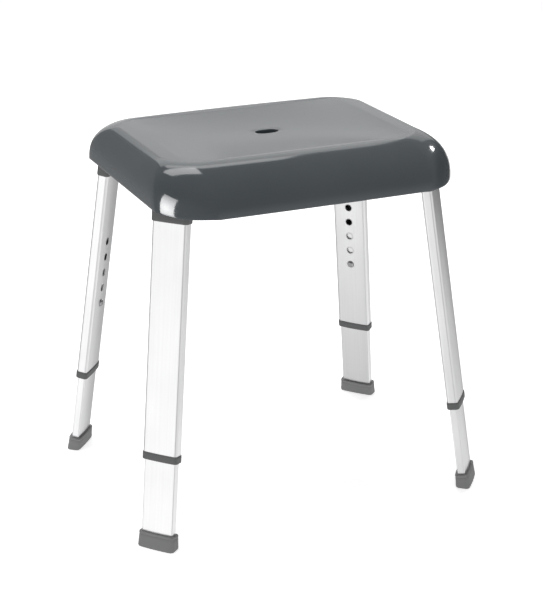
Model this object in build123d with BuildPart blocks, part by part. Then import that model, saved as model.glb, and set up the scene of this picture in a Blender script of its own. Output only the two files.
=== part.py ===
from build123d import *
import os
from math import cos, radians, sin

# Shower stool, millimetres. +Z is up, X is the stool's width, -Y is its front.
# The origin is on the floor, midway between the four feet.

# Seat moulding: half sizes and plan corner radii at the rim and at the top edge
RIM_Z = 467.5
TOP_Z = 523.0
RIM_HALF_X = 219.5
RIM_HALF_Y = 205.0
RIM_CORNER = 84.0
TOP_HALF_X = 189.0
TOP_HALF_Y = 121.0
TOP_CORNER = 44.5
SKIRT_WALL = 3.2
PANEL_WALL = 3.5

# How the skirt curves in from rim to top: two powers for the ends, two for the long sides
END_CURVE = (3.2, 0.76)
SIDE_CURVE = (1.85, 0.7)
BODY_SECTIONS = (0, 0.2, 0.4, 0.57, 0.71, 0.82, 0.9, 0.955, 0.985, 1.0)
CAVITY_SECTIONS = (0, 0.25, 0.5, 0.75, 1.0)

# The hollow of the sitting surface: shares of its height with the inset at each one
DISH_DEPTH = 8.0
DISH_INSET = 3.0
DISH_SECTIONS = ((1.02, 0), (0.86, 9), (0.5, 26), (0.18, 46), (0.03, 64), (0, 74))
DISH_INSET_SIDE = 0.72
DISH_INSET_CORNER = 0.2

# Under the seat
RIB_BOTTOM_Z = 489.0
RIB_THICKNESS = 2.5
RIB_PITCH = 48.0
RIB_MARGIN = 30.0
DRAIN_LENGTH = 34.0
DRAIN_WIDTH = 20.0
DRAIN_WALL = 3.0

# Legs: where a front-right leg's axis meets the floor, and where it passes below the seat
FLOOR_X = 242.6
FLOOR_Y = 178.3
UPPER_X = 194.7
UPPER_Y = 131.4
UPPER_Z = 430.0
FACE_ANGLE = 40.0

# Flat-oval tubes: half width, half thickness, bulge of the wide faces, corner radius
TUBE_HALF_WIDTH = 26.1
TUBE_HALF_THICKNESS = 8.9
TUBE_BULGE = 1.2
TUBE_CORNER = 4.0
TUBE_WALL = 1.4
INNER_STEP = 2.27

# Heights along a leg's axis, from the floor
FOOT_TOP = 22.2
INNER_BOTTOM = 9.0
RING_BOTTOM = 124.8
RING_TOP = 135.3
OUTER_BOTTOM = 126.4
BUSH_TOP = 140.0
INNER_TOP = 307.0
SOCKET_BOTTOM = 450.5
TUBE_SCREW_HEIGHT = 473.0
OUTER_TOP = 486.5

# Height adjustment
HOLE_PITCH = 25.0
HOLE_COUNT = 5
LOWEST_HOLE = 244.1
HOLE_RADIUS = 5.4
BUTTON_RADIUS = 4.9
BUTTON_STANDS_PROUD = 3.0
BUTTON_SHOULDER = 1.0
BUTTON_FLANGE_RADIUS = 6.3
BUTTON_FLANGE = 1.2
BUTTON_FLAT = 0.5
RUNNING_GAP = 0.3
SPRING_GAP = 0.1

# Fittings
FOOT_GROWS = 1.3
FOOT_FLARE = 1.1
FOOT_OVERRUN = 6.0
TREAD_OUTER = 3.0
TREAD_INNER = 5.0
TREAD_DEPTH = 1.2
RING_GROWS = 0.9
RING_EDGE = 0.3
SOCKET_GROWS = 1.6
SOCKET_OVERRUN = 6.0
FLANGE_THICKNESS = 4.0
FLANGE_WIDTH = 52.0
FLANGE_OUTWARD = 6.0
FLANGE_INWARD = 36.0
FLANGE_CORNER = 8.0
BOSS_RADIUS = 5.0
SEAT_SCREW_SPREAD = 17.0
SEAT_SCREW_INSET = 26.0
SEAT_SCREW_RADIUS = 2.0
SEAT_SCREW_LENGTH = 18.0
SEAT_SCREW_GAP = 0.5
SCREW_HEAD_RADIUS = 4.5
SCREW_HEAD_HEIGHT = 3.0
SCREW_HEAD_CHAMFER = 1.0
TUBE_SCREW_RADIUS = 1.75
TUBE_SCREW_HEAD_RADIUS = 3.5
TUBE_SCREW_HEAD_HEIGHT = 2.2
TUBE_SCREW_INSIDE = 2.0
SPRING_THICKNESS = 0.6
SPRING_WIDTH = 8.0
SPRING_DROP = 46.0
SPRING_BEND = 1.6
SPRING_ABOVE = 7.0
SPRING_BELOW = 8.0
SPRING_TIP = 2.0
SPRING_TAPER = 4.0

LEGS = {"fl": (-1, -1), "fr": (1, -1), "rl": (-1, 1), "rr": (1, 1)}
CAVITY_TOP_Z = TOP_Z - DISH_DEPTH - PANEL_WALL
FLANGE_BOTTOM_Z = RIB_BOTTOM_Z - FLANGE_THICKNESS
HOLES = [LOWEST_HOLE + HOLE_PITCH * step for step in range(HOLE_COUNT)]
SEAT_SCREW_SPOTS = [(side * SEAT_SCREW_SPREAD, -SEAT_SCREW_INSET) for side in (-1, 1)]


# ---------------------------------------------------------------- seat outline

def lean(rise, curve):
    """How far out the skirt stands at a share of its height: 1 at the rim and 0 at the top."""
    height_power, lean_power = curve
    return (1 - rise**height_power) ** lean_power


def seat_size(z):
    """Half sizes and corner radius of the seat's outline at a height."""
    rise = (z - RIM_Z) / (TOP_Z - RIM_Z)
    half_x = TOP_HALF_X + (RIM_HALF_X - TOP_HALF_X) * lean(rise, END_CURVE)
    half_y = TOP_HALF_Y + (RIM_HALF_Y - TOP_HALF_Y) * lean(rise, SIDE_CURVE)
    corner = RIM_CORNER + (TOP_CORNER - RIM_CORNER) * rise**2
    return half_x, half_y, corner


def seat_block(top_z, shares, inset):
    """A block from the rim up to top_z that follows the seat's outline, inset all round."""
    with BuildPart() as block:
        for share in shares:
            z = RIM_Z + (top_z - RIM_Z) * share
            half_x, half_y, corner = seat_size(z)
            with BuildSketch(Plane.XY.offset(z)):
                RectangleRounded(2 * (half_x - inset), 2 * (half_y - inset), corner - inset)
        loft()
    return block.part


def seat_body():
    """The seat as a full block, rounded over at its top edge."""
    return seat_block(TOP_Z, BODY_SECTIONS, 0)


def seat_cavity():
    """The open hollow under the seat."""
    return seat_block(CAVITY_TOP_Z, CAVITY_SECTIONS, SKIRT_WALL)


def seat_dish():
    """What is scooped out of the top so that the seat is slightly hollow to sit in."""
    with BuildPart() as dish:
        for share, inset in DISH_SECTIONS:
            with BuildSketch(Plane.XY.offset(TOP_Z - DISH_DEPTH * (1 - share))):
                RectangleRounded(
                    2 * (TOP_HALF_X - DISH_INSET - inset),
                    2 * (TOP_HALF_Y - DISH_INSET - DISH_INSET_SIDE * inset),
                    TOP_CORNER - DISH_INSET - DISH_INSET_CORNER * inset,
                )
        loft()
    return dish.part


def rib_positions(half_size):
    """Rib places either side of the middle, one pitch apart, within half_size."""
    count = int((half_size - RIB_PITCH / 2) // RIB_PITCH) + 1
    places = [RIB_PITCH * (number + 0.5) for number in range(count)]
    return [sign * place for place in places for sign in (-1, 1)]


def seat_ribs():
    """The grid of ribs under the seat, trimmed to the hollow."""
    height = CAVITY_TOP_Z - RIB_BOTTOM_Z
    with BuildPart() as ribs:
        with BuildSketch(Plane.XY.offset(RIB_BOTTOM_Z)):
            for x in rib_positions(RIM_HALF_X - RIB_MARGIN):
                with Locations((x, 0)):
                    Rectangle(RIB_THICKNESS, 2 * RIM_HALF_Y)
            for y in rib_positions(RIM_HALF_Y - RIB_MARGIN):
                with Locations((0, y)):
                    Rectangle(2 * RIM_HALF_X, RIB_THICKNESS)
            SlotOverall(DRAIN_LENGTH + 2 * DRAIN_WALL, DRAIN_WIDTH + 2 * DRAIN_WALL)
            with Locations(*screw_places()):
                Circle(BOSS_RADIUS)
        extrude(amount=height)
        add(seat_cavity(), mode=Mode.INTERSECT)
    return ribs.part


def make_seat():
    """The one-piece seat moulding."""
    with BuildPart() as seat:
        add(seat_body())
        add(seat_cavity(), mode=Mode.SUBTRACT)
        add(seat_ribs())
        add(seat_dish(), mode=Mode.SUBTRACT)
        with BuildSketch(Plane.XY.offset(RIM_Z)):
            SlotOverall(DRAIN_LENGTH, DRAIN_WIDTH)
        extrude(amount=TOP_Z, mode=Mode.SUBTRACT)
        with BuildSketch(Plane.XY.offset(RIB_BOTTOM_Z)):
            with Locations(*screw_places()):
                Circle(SEAT_SCREW_RADIUS)
        extrude(amount=SEAT_SCREW_LENGTH, mode=Mode.SUBTRACT)
    return seat


# ---------------------------------------------------------------- leg geometry

def leg_plane(leg, height=0.0):
    """A plane square to a leg's axis. Its X runs along the tube's width and its Y outwards."""
    side, end = LEGS[leg]
    floor = Vector(side * FLOOR_X, end * FLOOR_Y, 0)
    axis = (Vector(side * UPPER_X, end * UPPER_Y, UPPER_Z) - floor).normalized()
    outward = Vector(side * cos(radians(FACE_ANGLE)), end * sin(radians(FACE_ANGLE)), 0)
    return Plane(origin=floor + axis * height, x_dir=outward.cross(Vector(0, 0, 1)), z_dir=axis)


def level_plane(leg, z):
    """A level plane at height z, centred on a leg's axis, with its Y outwards."""
    side, end = LEGS[leg]
    share = z / UPPER_Z
    x = side * (FLOOR_X + (UPPER_X - FLOOR_X) * share)
    y = end * (FLOOR_Y + (UPPER_Y - FLOOR_Y) * share)
    outward = Vector(side * cos(radians(FACE_ANGLE)), end * sin(radians(FACE_ANGLE)), 0)
    return Plane(origin=(x, y, z), x_dir=outward.cross(Vector(0, 0, 1)), z_dir=(0, 0, 1))


def inward_plane(leg, height):
    """A plane through a leg's axis that faces the middle of the stool."""
    across = leg_plane(leg, height)
    return Plane(origin=across.origin, x_dir=across.x_dir, z_dir=-across.y_dir)


def screw_places():
    """Where the eight seat screws stand, in plan."""
    places = []
    for leg in LEGS:
        plane = level_plane(leg, RIB_BOTTOM_Z)
        for across, outward in SEAT_SCREW_SPOTS:
            point = plane.origin + plane.x_dir * across + plane.y_dir * outward
            places.append((point.X, point.Y))
    return places


def flat_oval(grow):
    """The tube's outline, grown on all sides: bulging wide faces and rounded corners."""
    width = TUBE_HALF_WIDTH + grow
    thickness = TUBE_HALF_THICKNESS + grow
    edge = thickness - TUBE_BULGE
    with BuildSketch() as outline:
        with BuildLine():
            ThreePointArc((-width, edge), (0, thickness), (width, edge))
            Line((width, edge), (width, -edge))
            ThreePointArc((width, -edge), (0, -thickness), (-width, -edge))
            Line((-width, -edge), (-width, edge))
        make_face()
        fillet(outline.vertices(), max(TUBE_CORNER + grow, 0.6))
    return outline.sketch


def oval_bar(plane, grow, length):
    """A straight bar of the tube's outline."""
    with BuildPart() as bar:
        with BuildSketch(plane):
            add(flat_oval(grow))
        extrude(amount=length)
    return bar.part


# ---------------------------------------------------------------- leg pieces

def make_tube(leg, bottom, top, grow):
    """A plain tube between two heights on a leg's axis."""
    with BuildPart() as tube:
        with BuildSketch(leg_plane(leg, bottom)):
            add(flat_oval(grow))
            add(flat_oval(grow - TUBE_WALL), mode=Mode.SUBTRACT)
        extrude(amount=top - bottom)
    return tube.part


def make_outer_tube(leg):
    """The upper leg tube with its row of adjustment holes."""
    with BuildPart() as tube:
        add(make_tube(leg, OUTER_BOTTOM, OUTER_TOP, 0))
        for height in HOLES:
            with BuildSketch(inward_plane(leg, height)):
                Circle(HOLE_RADIUS)
            extrude(amount=2 * TUBE_HALF_THICKNESS, mode=Mode.SUBTRACT)
        with BuildSketch(inward_plane(leg, TUBE_SCREW_HEIGHT)):
            Circle(TUBE_SCREW_RADIUS)
        extrude(amount=2 * TUBE_HALF_THICKNESS, mode=Mode.SUBTRACT)
    return tube


def make_inner_tube(leg):
    """The lower leg tube, with one hole for the snap button."""
    with BuildPart() as tube:
        add(make_tube(leg, INNER_BOTTOM, INNER_TOP, -INNER_STEP))
        with BuildSketch(inward_plane(leg, LOWEST_HOLE)):
            Circle(HOLE_RADIUS - RUNNING_GAP)
        extrude(amount=2 * TUBE_HALF_THICKNESS, mode=Mode.SUBTRACT)
    return tube


def make_ring(leg):
    """The collar on the outer tube's lower end, with the bush that guides the inner tube."""
    with BuildPart() as ring:
        add(oval_bar(leg_plane(leg, RING_BOTTOM), RING_GROWS, RING_TOP - RING_BOTTOM))
        fillet(ring.edges().filter_by(GeomType.LINE, reverse=True).group_by(Axis.Z)[-1], RING_EDGE)
        add(oval_bar(leg_plane(leg, RING_TOP), -TUBE_WALL, BUSH_TOP - RING_TOP))
        with BuildSketch(leg_plane(leg, OUTER_BOTTOM)):
            add(flat_oval(0))
            add(flat_oval(-TUBE_WALL), mode=Mode.SUBTRACT)
        extrude(amount=BUSH_TOP - OUTER_BOTTOM, mode=Mode.SUBTRACT)
        with BuildSketch(leg_plane(leg, RING_BOTTOM)):
            add(flat_oval(RUNNING_GAP - INNER_STEP))
        extrude(amount=BUSH_TOP - RING_BOTTOM, mode=Mode.SUBTRACT)
    return ring


def make_foot(leg):
    """The rubber cap on the inner tube, cut level where it meets the floor."""
    with BuildPart() as foot:
        with BuildSketch(leg_plane(leg, -FOOT_OVERRUN)):
            add(flat_oval(FOOT_GROWS + FOOT_FLARE))
        with BuildSketch(leg_plane(leg, FOOT_TOP)):
            add(flat_oval(FOOT_GROWS))
        loft()
        split(bisect_by=Plane.XY, keep=Keep.TOP)
        with BuildSketch(leg_plane(leg, INNER_BOTTOM)):
            add(flat_oval(-INNER_STEP))
        extrude(amount=FOOT_TOP, mode=Mode.SUBTRACT)
        with BuildSketch(level_plane(leg, 0)):
            add(flat_oval(-TREAD_OUTER))
            add(flat_oval(-TREAD_INNER), mode=Mode.SUBTRACT)
        extrude(amount=TREAD_DEPTH, mode=Mode.SUBTRACT)
    return foot


def make_socket(leg):
    """The sleeve that holds the outer tube's top, with its flange against the seat's ribs."""
    top = RIB_BOTTOM_Z / leg_plane(leg).z_dir.Z + SOCKET_OVERRUN
    with BuildPart() as socket:
        add(oval_bar(leg_plane(leg, SOCKET_BOTTOM), SOCKET_GROWS, top - SOCKET_BOTTOM))
        split(bisect_by=Plane.XY.offset(RIB_BOTTOM_Z), keep=Keep.BOTTOM)
        with BuildSketch(level_plane(leg, FLANGE_BOTTOM_Z)):
            with Locations((0, (FLANGE_OUTWARD - FLANGE_INWARD) / 2)):
                RectangleRounded(FLANGE_WIDTH, FLANGE_OUTWARD + FLANGE_INWARD, FLANGE_CORNER)
        extrude(amount=FLANGE_THICKNESS)
        add(oval_bar(leg_plane(leg, SOCKET_BOTTOM), 0, OUTER_TOP - SOCKET_BOTTOM), mode=Mode.SUBTRACT)
        with BuildSketch(level_plane(leg, RIB_BOTTOM_Z)):
            with Locations(*SEAT_SCREW_SPOTS):
                Circle(SEAT_SCREW_RADIUS + SEAT_SCREW_GAP)
        extrude(amount=-2 * FLANGE_THICKNESS, mode=Mode.SUBTRACT)
        with BuildSketch(inward_plane(leg, TUBE_SCREW_HEIGHT)):
            Circle(TUBE_SCREW_RADIUS)
        extrude(amount=2 * TUBE_HALF_THICKNESS, mode=Mode.SUBTRACT)
    return socket


def make_button(leg):
    """The snap button: a flange inside the inner tube and a dome that stands in the holes."""
    inside = TUBE_HALF_THICKNESS - INNER_STEP - TUBE_WALL - SPRING_GAP
    tip = TUBE_HALF_THICKNESS + BUTTON_STANDS_PROUD
    shoulder = TUBE_HALF_THICKNESS + BUTTON_SHOULDER
    with BuildPart() as button:
        with BuildSketch(inward_plane(leg, LOWEST_HOLE).offset(inside - BUTTON_FLANGE)):
            Circle(BUTTON_FLANGE_RADIUS)
        extrude(amount=BUTTON_FLANGE)
        with BuildSketch(inward_plane(leg, LOWEST_HOLE).offset(inside)):
            Circle(BUTTON_RADIUS)
        extrude(amount=tip - inside)
        rim = button.edges().filter_by(GeomType.CIRCLE).sort_by(
            lambda edge: (edge.arc_center - leg_plane(leg).origin).dot(leg_plane(leg).y_dir)
        )[0]
        fillet(rim, min(tip - shoulder, BUTTON_RADIUS - BUTTON_FLAT))
    return button


def make_spring(leg):
    """The bent leaf inside the inner tube that pushes the button out."""
    across = leg_plane(leg, LOWEST_HOLE)
    wall = TUBE_HALF_THICKNESS - INNER_STEP - TUBE_WALL
    button_back = wall - SPRING_GAP - BUTTON_FLANGE
    side = Plane(origin=across.origin, x_dir=across.y_dir, z_dir=across.x_dir)
    up = 1 if side.y_dir.dot(across.z_dir) > 0 else -1
    half = SPRING_THICKNESS / 2
    far = wall - half - SPRING_GAP
    with BuildPart() as spring:
        with BuildSketch(side):
            with BuildLine():
                FilletPolyline(
                    (-button_back + half, up * SPRING_ABOVE),
                    (-button_back + half, up * -SPRING_BELOW),
                    (-SPRING_BEND, up * (SPRING_TAPER - SPRING_DROP)),
                    (0, up * (-SPRING_TIP - SPRING_DROP)),
                    (SPRING_BEND, up * (SPRING_TAPER - SPRING_DROP)),
                    (far, up * -SPRING_BELOW),
                    (far, up * SPRING_ABOVE),
                    radius=SPRING_BEND,
                )
            trace(line_width=SPRING_THICKNESS)
        extrude(amount=SPRING_WIDTH / 2, both=True)
    return spring


# ---------------------------------------------------------------- screws

def make_seat_screws():
    """The eight screws up through the socket flanges into the seat's bosses."""
    with BuildPart() as screws:
        with BuildSketch(Plane.XY.offset(FLANGE_BOTTOM_Z - SCREW_HEAD_HEIGHT)):
            with Locations(*screw_places()):
                Circle(SCREW_HEAD_RADIUS)
        extrude(amount=SCREW_HEAD_HEIGHT)
        heads_below = screws.faces().sort_by(Axis.Z)[0:len(screw_places())]
        chamfer(heads_below.edges(), SCREW_HEAD_CHAMFER)
        with BuildSketch(Plane.XY.offset(FLANGE_BOTTOM_Z)):
            with Locations(*screw_places()):
                Circle(SEAT_SCREW_RADIUS)
        extrude(amount=FLANGE_THICKNESS + SEAT_SCREW_LENGTH)
    return screws


def make_tube_screws():
    """The four screws that hold the outer tubes in their sockets."""
    face = TUBE_HALF_THICKNESS + SOCKET_GROWS
    tip = TUBE_HALF_THICKNESS - TUBE_WALL - TUBE_SCREW_INSIDE
    with BuildPart() as screws:
        for leg in LEGS:
            plane = inward_plane(leg, TUBE_SCREW_HEIGHT)
            with BuildSketch(plane.offset(face)):
                Circle(TUBE_SCREW_HEAD_RADIUS)
            extrude(amount=TUBE_SCREW_HEAD_HEIGHT)
            with BuildSketch(plane.offset(tip)):
                Circle(TUBE_SCREW_RADIUS)
            extrude(amount=face - tip)
    return screws


# ---------------------------------------------------------------- output

def save(name, piece):
    """Label a piece and write it to its own file."""
    piece.part.label = name
    export_step(piece.part, f"parts/{name}.step")


LEG_PIECES = {
    "leg_socket": make_socket,
    "outer_tube": make_outer_tube,
    "end_collar": make_ring,
    "inner_tube": make_inner_tube,
    "rubber_foot": make_foot,
    "snap_button": make_button,
    "button_spring": make_spring,
}

os.makedirs("parts", exist_ok=True)
save("seat_shell", make_seat())
save("seat_screws", make_seat_screws())
save("tube_screws", make_tube_screws())
for leg in LEGS:
    for piece_name, make_piece in LEG_PIECES.items():
        save(f"{piece_name}_{leg}", make_piece(leg))
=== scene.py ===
"""Shower stool: the visual model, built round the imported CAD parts.

Metres, +Z up, -Y is the front. A moulded seat on four splayed telescopic legs.
"""

from math import cos, pi, radians, sin, tan

import bmesh
import bpy
from mathutils import Matrix, Vector


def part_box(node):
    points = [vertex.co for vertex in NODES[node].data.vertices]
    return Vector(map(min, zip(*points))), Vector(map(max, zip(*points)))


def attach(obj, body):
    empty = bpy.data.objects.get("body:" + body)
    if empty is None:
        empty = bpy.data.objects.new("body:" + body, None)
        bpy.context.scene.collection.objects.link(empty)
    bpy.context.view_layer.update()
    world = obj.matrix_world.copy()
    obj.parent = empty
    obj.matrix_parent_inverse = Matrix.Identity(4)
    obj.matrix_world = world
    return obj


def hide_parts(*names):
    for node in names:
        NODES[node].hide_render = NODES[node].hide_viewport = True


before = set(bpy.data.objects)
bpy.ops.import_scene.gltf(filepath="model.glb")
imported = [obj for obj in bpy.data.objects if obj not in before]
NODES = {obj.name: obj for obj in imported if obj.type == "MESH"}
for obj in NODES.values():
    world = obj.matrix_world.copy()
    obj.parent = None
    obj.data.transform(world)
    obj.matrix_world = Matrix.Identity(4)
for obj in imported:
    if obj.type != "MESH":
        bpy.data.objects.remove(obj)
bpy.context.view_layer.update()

MM = 0.001
UP = Vector((0, 0, 1))
LEGS = {"fl": (-1, -1), "fr": (1, -1), "rl": (-1, 1), "rr": (1, 1)}

# ---------------------------------------------------------------- seat sizes

SEAT_LOW, SEAT_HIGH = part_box("seat_shell")
RIM_Z = SEAT_LOW.z
TOP_Z = SEAT_HIGH.z
RIM_HALF_X = SEAT_HIGH.x
RIM_HALF_Y = SEAT_HIGH.y
TOP_HALF_X = RIM_HALF_X - 30.5 * MM
TOP_HALF_Y = RIM_HALF_Y - 84 * MM
SIDE_STEPS = 18
CORNER_STEPS = 30

# Corner sizes, and how far a corner is flattened: a power of 1 is round and 2 is a straight cut.
RIM_CORNER = 66 * MM
TOP_CORNER = 42 * MM
RIM_POWER = 1.5
TOP_POWER = 1.1

# How far the long sides bow outwards, and the curves by which the ends and sides lean inwards.
FRONT_BOW = 2.0 * MM
TOP_BOW = 7.0 * MM
END_CURVE = (3.2, 0.76)
SIDE_CURVE = (1.85, 0.7)
SKIRT_STEPS = 44
SKIRT_SPACING = 1.35

# How far the rim dips at each corner, and the shares of the half sizes from which it does.
RIM_DROOP = 6.0 * MM
DROOP_FROM_X = 0.72
DROOP_FROM_Y = 0.66
DROOP_FADE = 1.5

# The dished top: a border, a small step down inside it, and a shallow bowl.
DISH_DEPTH = 5.5 * MM
STEP_DEPTH = 0.5 * MM
END_STEP_WIDTH = 24 * MM
SIDE_STEP_WIDTH = 7 * MM
END_STEP_START = -0.5
SIDE_STEP_START = -0.3
BORDER_X = 21 * MM
BORDER_Y = 3 * MM
BORDER_CORNER = 34 * MM
BORDER_BOW = TOP_BOW - 2 * MM
BORDER_STEPS = 7
BOWL_STEPS = 24
BOWL_SPACING = 1.6

# The drain hole, and its rounded edge as (drop, growth) in mm.
DRAIN_HALF_X = 17 * MM
DRAIN_HALF_Y = 9 * MM
DRAIN_CORNER_X = 0.8 * DRAIN_HALF_X
DRAIN_CORNER_Y = 0.98 * DRAIN_HALF_Y
DRAIN_WALL = 3 * MM
DRAIN_BOTTOM_Z = 489 * MM
DRAIN_EDGE = ((2.2, 0.0), (0.9, 0.0), (0.25, 0.35), (0.0, 1.1))

# The skirt's wall with its rounded lower lip, and the hollow's ceiling.
WALL = 3.2 * MM
PANEL = 3.5 * MM
RIM_LIP = 1.2 * MM
RIM_LIP_DROP = 0.4 * RIM_LIP
RIM_LIP_INNER = 0.5 * MM
INNER_STEPS = 12
INNER_SPACING = 0.8
CEILING_Z = TOP_Z - DISH_DEPTH - PANEL
CEILING_SHARES = (0.04, 0.12, 0.3, 0.6, 0.85, 0.97, 1.0)

# The ribs, and their section as (share of half the thickness, rise of the lower edge in mm).
RIB_BOTTOM_Z = 489 * MM
RIB_THICKNESS = 2.5 * MM
RIB_PITCH = 48 * MM
RIB_MARGIN = 30 * MM
RIB_INSET = 0.6 * WALL
RIB_STEPS = 8
RIB_SECTION = ((-0.55, 0.0), (-1.0, 0.7), (1.0, 0.7), (0.55, 0.0))

# ---------------------------------------------------------------- leg sizes

# Two points on each leg's axis, the turn of its wide face, and the outer tube's flat oval.
FLOOR_X = 242.6 * MM
FLOOR_Y = 178.3 * MM
UPPER_X = 194.7 * MM
UPPER_Y = 131.4 * MM
UPPER_Z = 430 * MM
FACE_ANGLE = radians(40)
TUBE_HALF_WIDTH = 26.1 * MM
TUBE_HALF_THICKNESS = 8.9 * MM
TUBE_BULGE = 1.2 * MM
TUBE_CORNER = 4.0 * MM
OVAL_STEPS = 8

# Profiles in mm: a height up the leg, or above the floor, and the growth of the tube's outline there.
COLLAR_PROFILE = (
    (135.0, 0.02), (135.25, 0.3), (135.3, 0.55), (135.1, 0.85), (134.6, 1.0), (131.0, 1.05),
    (127.0, 1.0), (125.6, 0.95), (125.0, 0.7), (124.8, 0.3), (124.8, -1.5), (125.1, -1.97),
    (140.0, -1.97), (140.0, -1.41), (126.5, -1.41), (126.5, 0.02),
)
SLEEVE_PROFILE = (
    (458.0, 0.01), (454.2, 0.05), (453.4, 0.3), (453.1, 0.8), (453.4, 1.3), (454.3, 1.55),
    (456.0, 1.65), (465.0, 1.6), (474.0, 1.65), (478.0, 2.0),
)
SLEEVE_TOP_PROFILE = ((482.0, 2.1), (484.0, 2.6), (484.9, 3.4), (485.5, 3.4), (488.9, 0.01), (486.0, 0.01))
FOOT_LIP_PROFILE = (
    (20.6, -2.25), (21.2, -1.0), (21.3, 0.6), (21.0, 1.25), (20.2, 1.55), (19.0, 1.6), (18.0, 1.45),
    (17.5, 1.1), (17.0, 1.1), (16.5, 1.45), (13.0, 1.65), (9.0, 1.85),
)
FOOT_SIDE_SHARES = (0.4, 0.75)
TREAD_PROFILE = (
    (3.2, 2.3), (1.6, 2.3), (0.7, 2.05), (0.15, 1.5), (0.0, 0.7), (0.0, -1.8), (0.1, -2.0), (1.1, -2.3),
    (1.2, -2.6), (1.2, -4.4), (1.1, -4.7), (0.1, -5.0), (0.0, -5.2),
)

# The socket's flange in mm: its half sizes, corner and distance inwards, and (height, inset) pairs.
FLANGE_HALF_X = 26
FLANGE_HALF_Y = 21
FLANGE_CORNER = 8
FLANGE_INWARD = 15
FLANGE_PROFILE = (
    (485.0, 20.0), (485.0, 0.8), (485.2, 0.25), (485.7, 0.0), (488.4, 0.0), (488.9, 0.3), (488.9, 20.0),
)

# The adjustment holes and the rolled lips round them.
HOLE_RADIUS = 5.4 * MM
HOLE_HEIGHTS = [(244.1 + 25 * number) * MM for number in range(5)]
LIP_GAP = 0.35 * MM
LIP_HALF_WIDTH = 0.55 * MM
LIP_RISE = 0.22 * MM
LIP_SINK = 0.02 * MM
LIP_STEPS = 8
LIP_PARTS = 40

# ---------------------------------------------------------------- look

CLOUD_SCALE = 9.0

# Drawn aluminium: its tone, the darker tone of its lines, and the scales and gloss of the lines.
ALUMINIUM = (0.90, 0.90, 0.9045)
LINE_TONE = 0.965
LINE_STRETCH = 0.012
LINE_SCALE = 2600
SOFT_LINE_SCALE = 420
GLOSS_CLOUD_SCALE = 14
GLOSS = (0.30, 0.36)
LINE_GLOSS = (-0.03, 0.05)
LINE_STRENGTH = 0.6
LINE_RELIEF = 0.000012

FLOOR_HALF = 40.0
FLOOR_GLOW = 0.6

# The world's even light, and glows as (direction, cosine where it starts, cosine where it is full,
# amount). A negative amount is a shade.
WORLD_BASE = 0.36
WORLD_GLOWS = (
    ((-0.96, -0.2, -0.1), 0.6, 0.98, 0.15),
    ((0.93, 0.36, 0.0), 0.8, 0.97, -0.28),
    ((0.37, -0.83, -0.42), 0.5, 0.95, 0.45),
    ((0.0, 0.0, -1.0), 0.15, 0.45, 0.12),
)

# Cards behind the stool: name, azimuth, elevation, width and height in degrees, and radiance.
BACK_CARDS = (
    ("back_low", 12, 3, 44, 19, 0.42),
    ("back_rise", 14, 19.75, 42, 14.5, 0.7),
    ("back_upper", 14, 36, 40, 18, 1.3),
    ("back_right", 43, 20, 13, 22, 0.6),
    ("back_middle", 14, 48.5, 29, 6.5, 2.5),
    ("back_spot", -4, 58.5, 28, 13, 4.2),
)
SEAT_MIDDLE = (0, 0, 0.5)
LEGS_MIDDLE = (0, 0, 0.25)
WINDOW_CORNER = (-0.2, -0.155, 0.48)
WINDOW_SPREAD = radians(80)
SPOT_CORNER = (0.18, -0.15, 0.51)

CAMERA_PLACE = Vector((-0.890607, -2.041281, 1.116179))
CAMERA_TARGET = Vector((0.004885, -0.002138, 0.262552))
CAMERA_ROLL = radians(-0.143)
CAMERA_LENS = 97.63
SENSOR_WIDTH = 36.0


# ---------------------------------------------------------------- mesh helpers

def mesh_piece(name, rings, close_ends=False, loop_back=False):
    """A mesh skinned over closed rings of points that all hold the same number of points."""
    count = len(rings[0])
    points = [point for ring in rings for point in ring]
    faces = []
    pairs = list(zip(range(len(rings) - 1), range(1, len(rings))))
    if loop_back:
        pairs.append((len(rings) - 1, 0))
    for low, high in pairs:
        for step in range(count):
            following = (step + 1) % count
            faces.append((low * count + step, low * count + following,
                          high * count + following, high * count + step))
    if close_ends:
        faces.append(tuple(reversed(range(count))))
        last = (len(rings) - 1) * count
        faces.append(tuple(range(last, last + count)))
    mesh = bpy.data.meshes.new(name)
    mesh.from_pydata(points, [], faces)
    mesh.validate()
    mesh.shade_smooth()
    piece = bpy.data.objects.new(name, mesh)
    bpy.context.scene.collection.objects.link(piece)
    return piece


def join_pieces(name, pieces):
    """Joins pieces into one with the given name."""
    joined = bmesh.new()
    for piece in pieces:
        joined.from_mesh(piece.data)
        bpy.data.objects.remove(piece)
    mesh = bpy.data.meshes.new(name)
    joined.to_mesh(mesh)
    joined.free()
    whole = bpy.data.objects.new(name, mesh)
    bpy.context.scene.collection.objects.link(whole)
    return whole


def finish_piece(piece, material, body, slot, *nodes):
    """Gives a piece its material and its body, and hides the CAD nodes it stands for. The slot is not used.
    """
    piece.data.materials.append(material)
    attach(piece, body)
    if nodes:
        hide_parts(*nodes)


def smooth_step(value, low, high):
    """0 below low, 1 above high and a soft change between them."""
    share = min(max((value - low) / (high - low), 0), 1)
    return share * share * (3 - 2 * share)


def raised(points, amount):
    """The same ring moved up."""
    return [point + UP * amount for point in points]


def levelled(points, z):
    """The same ring laid flat at a height."""
    return [Vector((point.x, point.y, z)) for point in points]


def pushed_out(points, amount):
    """The same ring with each point moved away from the middle of the seat."""
    return [point + Vector((point.x, point.y, 0)).normalized() * amount for point in points]


# ---------------------------------------------------------------- seat moulding

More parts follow.
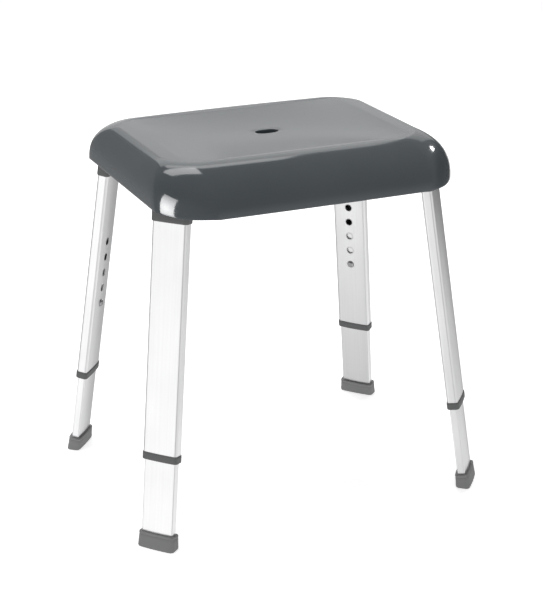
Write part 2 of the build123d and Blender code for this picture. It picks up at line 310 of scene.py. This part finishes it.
def plan_outline(half_x, half_y, corner_x, corner_y, power, bow):
    """Points anticlockwise round a rounded rectangle whose long sides bow outwards by bow."""
    points = []
    for quarter in range(4):
        sign_x = (1, -1, -1, 1)[quarter]
        sign_y = (1, 1, -1, -1)[quarter]
        for step in range(CORNER_STEPS):
            angle = pi / 2 * step / CORNER_STEPS
            if quarter % 2:
                angle = pi / 2 - angle
            x = half_x - corner_x + corner_x * cos(angle) ** power
            y = half_y - corner_y + corner_y * sin(angle) ** power
            points.append((sign_x * x, sign_y * y))
        start = (sign_x * (half_x - corner_x), sign_y * half_y)
        end = (-start[0], start[1])
        if quarter % 2:
            start = (sign_x * half_x, sign_y * (half_y - corner_y))
            end = (start[0], -start[1])
        for step in range(SIDE_STEPS):
            share = step / SIDE_STEPS
            points.append((start[0] + (end[0] - start[0]) * share,
                           start[1] + (end[1] - start[1]) * share))
    bowed = []
    for x, y in points:
        across = min(abs(x) / half_x, 1)
        along = y / half_y
        bowed.append((x, y - bow * along * across**2))
    return bowed


def lean(rise, curve):
    """The share of its overhang that the skirt still has at a share of the seat's height."""
    power, root = curve
    return (1 - rise**power) ** root


def seat_ring(rise, inset=0.0):
    """The seat's outline at a share of its height, inset all round, as 3-D points."""
    half_x = TOP_HALF_X + (RIM_HALF_X - TOP_HALF_X) * lean(rise, END_CURVE) - inset
    top_half_y = TOP_HALF_Y + TOP_BOW
    half_y = top_half_y + (RIM_HALF_Y - top_half_y) * lean(rise, SIDE_CURVE) - inset
    corner = RIM_CORNER + (TOP_CORNER - RIM_CORNER) * rise**2 - inset
    bow = FRONT_BOW + (TOP_BOW - FRONT_BOW) * rise**2
    power = RIM_POWER + (TOP_POWER - RIM_POWER) * rise**2
    points = []
    for x, y in plan_outline(half_x, half_y, corner, corner, power, bow):
        near_end = smooth_step(abs(x) / half_x, DROOP_FROM_X, 1.0)
        near_side = smooth_step(abs(y) / half_y, DROOP_FROM_Y, 1.0)
        droop = RIM_DROOP * near_end * near_side * (1 - rise) ** DROOP_FADE
        points.append(Vector((x, y, RIM_Z + (TOP_Z - RIM_Z) * rise - droop)))
    return points


def rise_at(z):
    """A height as a share of the seat's height."""
    return (z - RIM_Z) / (TOP_Z - RIM_Z)


def dish_ring(place):
    """The top surface's ring at a place: the border's outer edge at -1, the bowl's at 0, the drain at 1."""
    half_x = TOP_HALF_X - BORDER_X
    half_y = TOP_HALF_Y + TOP_BOW - BORDER_Y
    bowl = plan_outline(half_x, half_y, BORDER_CORNER, BORDER_CORNER, 1.0, BORDER_BOW)
    if place <= 0:
        outer = [(point.x, point.y) for point in seat_ring(1.0)]
        inner = bowl
        share = 1 + place
    else:
        outer = bowl
        inner = plan_outline(DRAIN_HALF_X, DRAIN_HALF_Y, DRAIN_CORNER_X, DRAIN_CORNER_Y, 1.0, 0)
        share = place
    points = []
    for (outer_x, outer_y), (inner_x, inner_y) in zip(outer, inner):
        x = outer_x + (inner_x - outer_x) * share
        y = outer_y + (inner_y - outer_y) * share
        points.append(Vector((x, y, TOP_Z - dish_depth(x, y, half_x, half_y))))
    return points


def dish_depth(x, y, half_x, half_y):
    """How far the top lies below its border: a small step down, then a shallow bowl."""
    from_end = (half_x - abs(x)) / END_STEP_WIDTH
    from_side = (half_y - abs(y)) / SIDE_STEP_WIDTH
    step = smooth_step(from_end, END_STEP_START, 1) * smooth_step(from_side, SIDE_STEP_START, 1)
    across = 1 - min(abs(x) / half_x, 1) ** 2
    along = 1 - min(abs(y) / half_y, 1) ** 2
    return STEP_DEPTH * step + (DISH_DEPTH - STEP_DEPTH) * across * along


def make_seat_moulding():
    """The seat from its drain hole out over the top, down the skirt, round the rim and back inside."""
    drain = dish_ring(1.0)
    drain_outside = pushed_out(drain, DRAIN_WALL)
    rings = [levelled(drain, DRAIN_BOTTOM_Z)]
    for drop, growth in DRAIN_EDGE:
        rings.append(raised(pushed_out(drain, growth * MM), -drop * MM))
    for step in range(BOWL_STEPS - 1, 0, -1):
        rings.append(dish_ring((step / BOWL_STEPS) ** BOWL_SPACING))
    for step in range(BORDER_STEPS):
        rings.append(dish_ring(-step / BORDER_STEPS))
    for step in range(SKIRT_STEPS + 1):
        rings.append(seat_ring(1 - (1 - cos(pi / 2 * step / SKIRT_STEPS)) ** SKIRT_SPACING))
    for turn in (30, 60, 90):
        inset = RIM_LIP * (1 - cos(radians(turn)))
        rings.append(raised(seat_ring(0.0, inset), -RIM_LIP_DROP * sin(radians(turn))))
    rings.append(raised(seat_ring(0.0, WALL - RIM_LIP_INNER), -RIM_LIP_DROP))
    for step in range(INNER_STEPS + 1):
        rings.append(seat_ring(rise_at(CEILING_Z) * (step / INNER_STEPS) ** INNER_SPACING, WALL))
    ceiling_edge, ceiling_middle = rings[-1], levelled(drain_outside, CEILING_Z)
    for share in CEILING_SHARES:
        rings.append([edge.lerp(middle, share) for edge, middle in zip(ceiling_edge, ceiling_middle)])
    for z in (CEILING_Z - 0.5 * MM, DRAIN_BOTTOM_Z + 0.6 * MM, DRAIN_BOTTOM_Z):
        rings.append(levelled(drain_outside, z))
    return mesh_piece("seat_moulding", rings, loop_back=True)


# ---------------------------------------------------------------- seat ribs

def rib_places(half_size):
    """Where the ribs stand either side of the middle, one pitch apart."""
    count = int((half_size - RIB_PITCH / 2) // RIB_PITCH) + 1
    places = [RIB_PITCH * (number + 0.5) for number in range(count)]
    return [sign * place for place in places for sign in (-1, 1)]


def rib_reach(z, along_x, place):
    """How far a rib runs from the middle before it meets the skirt's inner face."""
    ring = seat_ring(rise_at(z), RIB_INSET)
    best = 0.0
    for first, second in zip(ring, ring[1:] + ring[:1]):
        a = first if along_x else Vector((first.y, first.x, 0))
        b = second if along_x else Vector((second.y, second.x, 0))
        if (a.y - place) * (b.y - place) <= 0 and a.y != b.y:
            share = (place - a.y) / (b.y - a.y)
            best = max(best, a.x + (b.x - a.x) * share)
    return best


def make_rib(number, along_x, place):
    """One upright rib under the seat, trimmed to the skirt, with its lower edge rounded."""
    top = CEILING_Z + 1 * MM
    while rib_reach(top, along_x, place) < RIB_PITCH:
        top -= 1 * MM
    outline = []
    for step in range(RIB_STEPS + 1):
        z = RIB_BOTTOM_Z + (top - RIB_BOTTOM_Z) * step / RIB_STEPS
        outline.append((rib_reach(z, along_x, place), z))
    outline = outline + [(-reach, z) for reach, z in reversed(outline)]
    rings = []
    for side, rise in RIB_SECTION:
        across = place + side * RIB_THICKNESS / 2
        ring = []
        for reach, z in outline:
            height = z + (rise * MM if z < RIB_BOTTOM_Z + 0.1 * MM else 0)
            ring.append(Vector((reach, across, height) if along_x else (across, reach, height)))
        rings.append(ring)
    rib = mesh_piece(f"seat_rib_{number}", rings, close_ends=True)
    rib.data.shade_flat()
    return rib


def make_seat_ribs():
    """The crossed ribs under the seat as one piece."""
    ribs = []
    for place in rib_places(RIM_HALF_X - RIB_MARGIN):
        ribs.append(make_rib(len(ribs), False, place))
    for place in rib_places(RIM_HALF_Y - RIB_MARGIN):
        ribs.append(make_rib(len(ribs), True, place))
    return join_pieces("seat_ribs", ribs)


# ---------------------------------------------------------------- leg pieces

def face_direction(leg):
    """The level direction that a leg's outer wide face looks in."""
    side, end = LEGS[leg]
    return Vector((side * cos(FACE_ANGLE), end * sin(FACE_ANGLE), 0))


def leg_axes(leg):
    """A leg's floor point, and its directions across the wide face, outwards and up the axis."""
    side, end = LEGS[leg]
    floor = Vector((side * FLOOR_X, end * FLOOR_Y, 0))
    axis = (Vector((side * UPPER_X, end * UPPER_Y, UPPER_Z)) - floor).normalized()
    level = face_direction(leg).cross(UP)
    across = (level - axis * level.dot(axis)).normalized()
    return floor, across, axis.cross(across), axis


def face_distance(x, growth=0.0):
    """How far the tube's bulging wide face lies from the axis, at a distance across it."""
    return TUBE_HALF_THICKNESS + growth - TUBE_BULGE * (x / (TUBE_HALF_WIDTH + growth)) ** 2


def flat_oval(growth):
    """Points round the tube's outline, grown on all sides: bulging wide faces and rounded corners."""
    width = TUBE_HALF_WIDTH + growth
    corner = TUBE_CORNER + growth
    face_x = width - corner
    face_y = face_distance(face_x, growth)
    quarter = []
    for step in range(OVAL_STEPS):
        x = face_x * step / OVAL_STEPS
        quarter.append((x, face_distance(x, growth)))
    for step in range(OVAL_STEPS + 1):
        angle = pi / 2 * (1 - step / OVAL_STEPS)
        quarter.append((face_x + corner * cos(angle), face_y - corner + corner * sin(angle)))
    quarter.append((width, (face_y - corner) / 2))
    lower = [(x, -y) for x, y in reversed(quarter)]
    left = [(-x, -y) for x, y in quarter[1:]]
    upper = [(-x, y) for x, y in reversed(quarter[1:])]
    return quarter + [(width, 0)] + lower + left + [(-width, 0)] + upper


def square_rings(leg, profile):
    """The tube's outline, grown, square to the leg's axis at each height up the leg."""
    floor, across, outward, axis = leg_axes(leg)
    rings = []
    for height, growth in profile:
        centre = floor + axis * (height * MM)
        rings.append([centre + across * x + outward * y for x, y in flat_oval(growth * MM)])
    return rings


def level_rings(leg, profile):
    """The tube's outline, grown, cut level at each height above the floor."""
    floor, across, outward, axis = leg_axes(leg)
    rings = []
    for z, growth in profile:
        ring = []
        for x, y in flat_oval(growth * MM):
            point = floor + across * x + outward * y
            ring.append(point + axis * ((z * MM - point.z) / axis.z))
        rings.append(ring)
    return rings


def make_collar(leg):
    """The ring on the outer tube's lower end, with rounded edges and its bush inside."""
    return mesh_piece("collar_" + leg, square_rings(leg, COLLAR_PROFILE), loop_back=True)


def make_sleeve(leg):
    """The socket's sleeve round the tube's top, rounded underneath."""
    rings = square_rings(leg, SLEEVE_PROFILE) + level_rings(leg, SLEEVE_TOP_PROFILE)
    return mesh_piece("sleeve_" + leg, rings, loop_back=True)


def make_flange(leg):
    """The plate with rounded edges by which the socket hangs from the seat."""
    outward = face_direction(leg)
    across = outward.cross(UP)
    floor, _, _, axis = leg_axes(leg)
    rings = []
    for z, inset in FLANGE_PROFILE:
        centre = floor + axis * (z * MM / axis.z) - outward * (FLANGE_INWARD * MM)
        corner = FLANGE_CORNER * MM * (1 - inset / FLANGE_HALF_Y)
        half_x, half_y = (FLANGE_HALF_X - inset) * MM, (FLANGE_HALF_Y - inset) * MM
        outline = plan_outline(half_x, half_y, corner, corner, 1.0, 0)
        middle = Vector((centre.x, centre.y, z * MM))
        rings.append([middle + across * x + outward * y for x, y in outline])
    return mesh_piece("flange_" + leg, list(reversed(rings)), close_ends=True)


def make_socket(leg):
    """The sleeve round the tube's top and the flange that it hangs from."""
    return join_pieces("socket_" + leg, [make_sleeve(leg), make_flange(leg)])


def make_foot(leg):
    """The rubber cap: a lip, a groove below it and flared sides, with a hollow tread underneath."""
    lip = square_rings(leg, FOOT_LIP_PROFILE)
    tread = level_rings(leg, TREAD_PROFILE)
    sides = [[high.lerp(low, share) for high, low in zip(lip[-1], tread[0])] for share in FOOT_SIDE_SHARES]
    return mesh_piece("foot_" + leg, list(reversed(lip + sides + tread)), close_ends=True)


def make_hole_lips(leg):
    """The small rolled edges of the adjustment holes on the tube's inner face."""
    floor, across, outward, axis = leg_axes(leg)
    lips = []
    for height in HOLE_HEIGHTS:
        rings = []
        for step in range(LIP_STEPS + 1):
            turn = pi * (step / LIP_STEPS - 0.5)
            radius = HOLE_RADIUS + LIP_GAP + LIP_HALF_WIDTH * sin(turn)
            stands = LIP_RISE * cos(turn) - LIP_SINK
            ring = []
            for part in range(LIP_PARTS):
                angle = 2 * pi * part / LIP_PARTS
                x, along = radius * cos(angle), radius * sin(angle)
                inward = outward * (face_distance(x) + stands)
                ring.append(floor + axis * (height + along) + across * x - inward)
            rings.append(ring)
        lips.append(mesh_piece(f"lip_{leg}_{len(lips)}", rings, loop_back=True))
    return join_pieces("hole_lips_" + leg, lips)


# ---------------------------------------------------------------- material helpers

def new_material(name):
    """A material with a Principled shader, and its nodes and links."""
    material = bpy.data.materials.new(name)
    material.use_nodes = True
    return material, material.node_tree.nodes, material.node_tree.links


def set_inputs(node, **values):
    """Sets a node's sockets by name, with underscores for spaces."""
    for name, value in values.items():
        node.inputs[name.replace("_", " ")].default_value = value


def noise(nodes, links, coordinates, scale, detail=2.0):
    """A noise texture on the given coordinates."""
    texture = nodes.new("ShaderNodeTexNoise")
    set_inputs(texture, Scale=scale, Detail=detail, Roughness=0.5)
    links.new(coordinates, texture.inputs["Vector"])
    return texture.outputs["Fac"]


def spread(nodes, links, value, low, high):
    """Maps a 0.3 to 0.7 noise value on to a low to high range."""
    ranged = nodes.new("ShaderNodeMapRange")
    set_inputs(ranged, From_Min=0.3, From_Max=0.7, To_Min=low, To_Max=high)
    links.new(value, ranged.inputs["Value"])
    return ranged.outputs["Result"]


def tint(nodes, links, value, dark, light):
    """Mixes two colours by a noise value."""
    mix = nodes.new("ShaderNodeMix")
    mix.data_type = "RGBA"
    mix.inputs["A"].default_value = (*dark, 1)
    mix.inputs["B"].default_value = (*light, 1)
    links.new(spread(nodes, links, value, 0, 1), mix.inputs["Factor"])
    return mix.outputs["Result"]


def bump(nodes, links, height, strength, distance):
    """A bump from a height value."""
    bumped = nodes.new("ShaderNodeBump")
    set_inputs(bumped, Strength=strength, Distance=distance)
    links.new(height, bumped.inputs["Height"])
    return bumped.outputs["Normal"]


def textured(name, dark, light, roughness, grain, relief, metallic=0.0):
    """A material with a faint colour cloud, uneven gloss and a fine surface grain."""
    material, nodes, links = new_material(name)
    shader = nodes["Principled BSDF"]
    set_inputs(shader, Metallic=metallic)
    place = nodes.new("ShaderNodeTexCoord").outputs["Object"]
    wide = noise(nodes, links, place, CLOUD_SCALE)
    fine = noise(nodes, links, place, grain, detail=3.0)
    links.new(tint(nodes, links, wide, dark, light), shader.inputs["Base Color"])
    links.new(spread(nodes, links, wide, *roughness), shader.inputs["Roughness"])
    links.new(bump(nodes, links, fine, 1.0, relief), shader.inputs["Normal"])
    return material


def drawn_aluminium(leg):
    """Satin anodised aluminium with fine lines drawn along the leg."""
    material, nodes, links = new_material("tube_aluminium_" + leg)
    shader = nodes["Principled BSDF"]
    set_inputs(shader, Metallic=1.0)
    _, across, outward, axis = leg_axes(leg)
    place = nodes.new("ShaderNodeTexCoord").outputs["Object"]
    combine = nodes.new("ShaderNodeCombineXYZ")
    for socket, direction in (("X", across), ("Y", outward), ("Z", axis * LINE_STRETCH)):
        product = nodes.new("ShaderNodeVectorMath")
        product.operation = "DOT_PRODUCT"
        product.inputs[1].default_value = direction
        links.new(place, product.inputs[0])
        links.new(product.outputs["Value"], combine.inputs[socket])
    lines = noise(nodes, links, combine.outputs["Vector"], LINE_SCALE, detail=3.0)
    soft_lines = noise(nodes, links, combine.outputs["Vector"], SOFT_LINE_SCALE)
    cloud = noise(nodes, links, place, GLOSS_CLOUD_SCALE)
    dull = tuple(LINE_TONE * channel for channel in ALUMINIUM)
    links.new(tint(nodes, links, soft_lines, dull, ALUMINIUM), shader.inputs["Base Color"])
    gloss = nodes.new("ShaderNodeMath")
    gloss.operation = "ADD"
    links.new(spread(nodes, links, cloud, *GLOSS), gloss.inputs[0])
    links.new(spread(nodes, links, lines, *LINE_GLOSS), gloss.inputs[1])
    links.new(gloss.outputs["Value"], shader.inputs["Roughness"])
    links.new(bump(nodes, links, lines, LINE_STRENGTH, LINE_RELIEF), shader.inputs["Normal"])
    return material


def paint(node, material):
    """Gives a CAD node one material."""
    mesh = NODES[node].data
    mesh.materials.clear()
    mesh.materials.append(material)


# ---------------------------------------------------------------- materials

SEAT_PLASTIC = textured("seat_plastic", dark=(0.062, 0.073, 0.081), light=(0.069, 0.080, 0.088),
                        roughness=(0.08, 0.12), grain=900, relief=0.0000004)
GREY_PLASTIC = textured("grey_plastic", dark=(0.100, 0.102, 0.104), light=(0.116, 0.118, 0.120),
                        roughness=(0.46, 0.56), grain=2600, relief=0.00003)
FOOT_RUBBER = textured("foot_rubber", dark=(0.188, 0.189, 0.189), light=(0.220, 0.221, 0.221),
                       roughness=(0.55, 0.68), grain=1900, relief=0.00005)
BUTTON_STEEL = textured("button_steel", dark=(0.52, 0.52, 0.53), light=(0.62, 0.62, 0.63),
                        roughness=(0.14, 0.24), grain=3000, relief=0.000006, metallic=1.0)
SCREW_STEEL = textured("screw_steel", dark=(0.46, 0.46, 0.47), light=(0.58, 0.58, 0.58),
                       roughness=(0.22, 0.36), grain=2400, relief=0.00001, metallic=1.0)
TUBE_ALUMINIUM = {leg: drawn_aluminium(leg) for leg in LEGS}

paint("seat_screws", SCREW_STEEL)
paint("tube_screws", SCREW_STEEL)
for leg in LEGS:
    paint("outer_tube_" + leg, TUBE_ALUMINIUM[leg])
    paint("inner_tube_" + leg, TUBE_ALUMINIUM[leg])
    paint("leg_socket_" + leg, GREY_PLASTIC)
    paint("end_collar_" + leg, GREY_PLASTIC)
    paint("rubber_foot_" + leg, FOOT_RUBBER)
    paint("snap_button_" + leg, BUTTON_STEEL)
    paint("button_spring_" + leg, SCREW_STEEL)

# ---------------------------------------------------------------- seat and legs

seat = make_seat_moulding()
finish_piece(seat, SEAT_PLASTIC, "root", "seat_plastic", "seat_shell")
finish_piece(make_seat_ribs(), SEAT_PLASTIC, "root", "seat_plastic")

leg_pieces = []
for leg in LEGS:
    socket, collar, foot = make_socket(leg), make_collar(leg), make_foot(leg)
    finish_piece(socket, GREY_PLASTIC, "root", "grey_plastic", "leg_socket_" + leg)
    finish_piece(collar, GREY_PLASTIC, "root", "grey_plastic", "end_collar_" + leg)
    finish_piece(foot, FOOT_RUBBER, "leg_extension_" + leg, "foot_rubber", "rubber_foot_" + leg)
    leg_pieces += [socket, collar, foot, NODES["outer_tube_" + leg], NODES["inner_tube_" + leg]]
    finish_piece(make_hole_lips(leg), TUBE_ALUMINIUM[leg], "root", "tube_aluminium")


# ---------------------------------------------------------------- floor, light and camera

def make_floor():
    """A wide pale floor, faintly uneven in tone."""
    half = FLOOR_HALF
    mesh = bpy.data.meshes.new("floor")
    corners = [(-half, -half, 0), (half, -half, 0), (half, half, 0), (-half, half, 0)]
    mesh.from_pydata(corners, [], [(0, 1, 2, 3)])
    floor = bpy.data.objects.new("floor", mesh)
    bpy.context.scene.collection.objects.link(floor)
    surface = textured("floor", dark=(0.90, 0.90, 0.90), light=(0.93, 0.93, 0.93),
                       roughness=(0.8, 0.9), grain=300, relief=0.00002)
    shader = surface.node_tree.nodes["Principled BSDF"]
    set_inputs(shader, Emission_Color=(1, 1, 1, 1), Emission_Strength=FLOOR_GLOW)
    floor.data.materials.append(surface)
    floor.visible_glossy = False


def make_world():
    """A pale studio with glows to the left, in front and below, and a shade to the right."""
    world = bpy.data.worlds.new("studio")
    bpy.context.scene.world = world
    world.use_nodes = True
    nodes, links = world.node_tree.nodes, world.node_tree.links
    background = nodes["Background"]
    background.inputs["Color"].default_value = (1.0, 1.0, 1.0, 1)
    direction = nodes.new("ShaderNodeTexCoord").outputs["Generated"]
    total = None
    for middle, start, full, amount in WORLD_GLOWS:
        facing = nodes.new("ShaderNodeVectorMath")
        facing.operation = "DOT_PRODUCT"
        facing.inputs[1].default_value = Vector(middle).normalized()
        links.new(direction, facing.inputs[0])
        glow = nodes.new("ShaderNodeMapRange")
        glow.interpolation_type = "SMOOTHSTEP"
        set_inputs(glow, From_Min=start, From_Max=full, To_Min=0.0, To_Max=amount)
        links.new(facing.outputs["Value"], glow.inputs["Value"])
        if total is None:
            total = glow.outputs["Result"]
        else:
            added = nodes.new("ShaderNodeMath")
            links.new(total, added.inputs[0])
            links.new(glow.outputs["Result"], added.inputs[1])
            total = added.outputs["Value"]
    base = nodes.new("ShaderNodeMath")
    base.inputs[1].default_value = WORLD_BASE
    links.new(total, base.inputs[0])
    links.new(base.outputs["Value"], background.inputs["Strength"])


def towards(azimuth, elevation):
    """The direction at an azimuth clockwise from +Y seen from above, and an elevation, in degrees."""
    flat = cos(radians(elevation))
    return Vector((sin(radians(azimuth)) * flat, cos(radians(azimuth)) * flat, sin(radians(elevation))))


def card(name, azimuth, elevation, wide, high, radiance, centre=SEAT_MIDDLE, distance=3.0, tilt=0.0):
    """A soft light seen from a centre at an azimuth and elevation, as wide and high as the angles given."""
    place = Vector(centre) + towards(azimuth, elevation) * distance
    width = 2 * distance * tan(radians(wide / 2))
    height = 2 * distance * tan(radians(high / 2))
    light = bpy.data.lights.new(name, "AREA")
    light.shape = "RECTANGLE"
    light.size = width
    light.size_y = height
    light.energy = radiance * width * height * pi
    lamp = bpy.data.objects.new(name, light)
    lamp.location = place
    facing = (Vector(centre) - place).to_track_quat("-Z", "Y").to_matrix()
    lamp.rotation_euler = (facing @ Matrix.Rotation(radians(tilt), 3, "Z")).to_euler()
    lamp.visible_camera = False
    bpy.context.scene.collection.objects.link(lamp)
    return lamp


def light_only(name, lamps, pieces):
    """Makes the lamps light nothing but the given pieces."""
    lit = bpy.data.collections.new(name)
    for piece in pieces:
        lit.objects.link(piece)
    for lamp in lamps:
        lamp.light_linking.receiver_collection = lit


def make_lights():
    """The cards behind, the window and spot that the seat mirrors, the legs' cards and a light above."""
    for values in BACK_CARDS:
        card(*values)
    window = card("left_window", -92, -3, 25, 66, 3.6, WINDOW_CORNER, distance=0.2, tilt=-7)
    window.visible_diffuse = False
    window.data.spread = WINDOW_SPREAD
    spot = card("right_spot", 57, 27, 5.5, 3.0, 60.0, SPOT_CORNER, distance=2.5, tilt=15)
    spot.data.shape = "ELLIPSE"
    back_floor = card("back_floor", 42, -13, 28, 22, 1.2)
    light_only("seat", (window, back_floor), (seat,))
    legs_left = card("legs_left", -108, -12, 56, 54, 0.68, LEGS_MIDDLE)
    legs_right = card("legs_right", 84, -28, 46, 38, 0.62, LEGS_MIDDLE)
    light_only("legs", (legs_left, legs_right), leg_pieces)
    overhead = card("overhead", -60, 75, 40, 40, 2.2)
    overhead.visible_glossy = False


def make_camera():
    """The camera, at the height and angle that the stool is seen from."""
    data = bpy.data.cameras.new("camera")
    data.lens = CAMERA_LENS
    data.sensor_width = SENSOR_WIDTH
    camera = bpy.data.objects.new("camera", data)
    bpy.context.scene.collection.objects.link(camera)
    look = (CAMERA_TARGET - CAMERA_PLACE).to_track_quat("-Z", "Y").to_matrix().to_4x4()
    camera.matrix_world = Matrix.Translation(CAMERA_PLACE) @ look @ Matrix.Rotation(CAMERA_ROLL, 4, "Z")
    bpy.context.scene.camera = camera


make_floor()
make_world()
make_lights()
make_camera()

bpy.context.scene.view_settings.view_transform = "Standard"
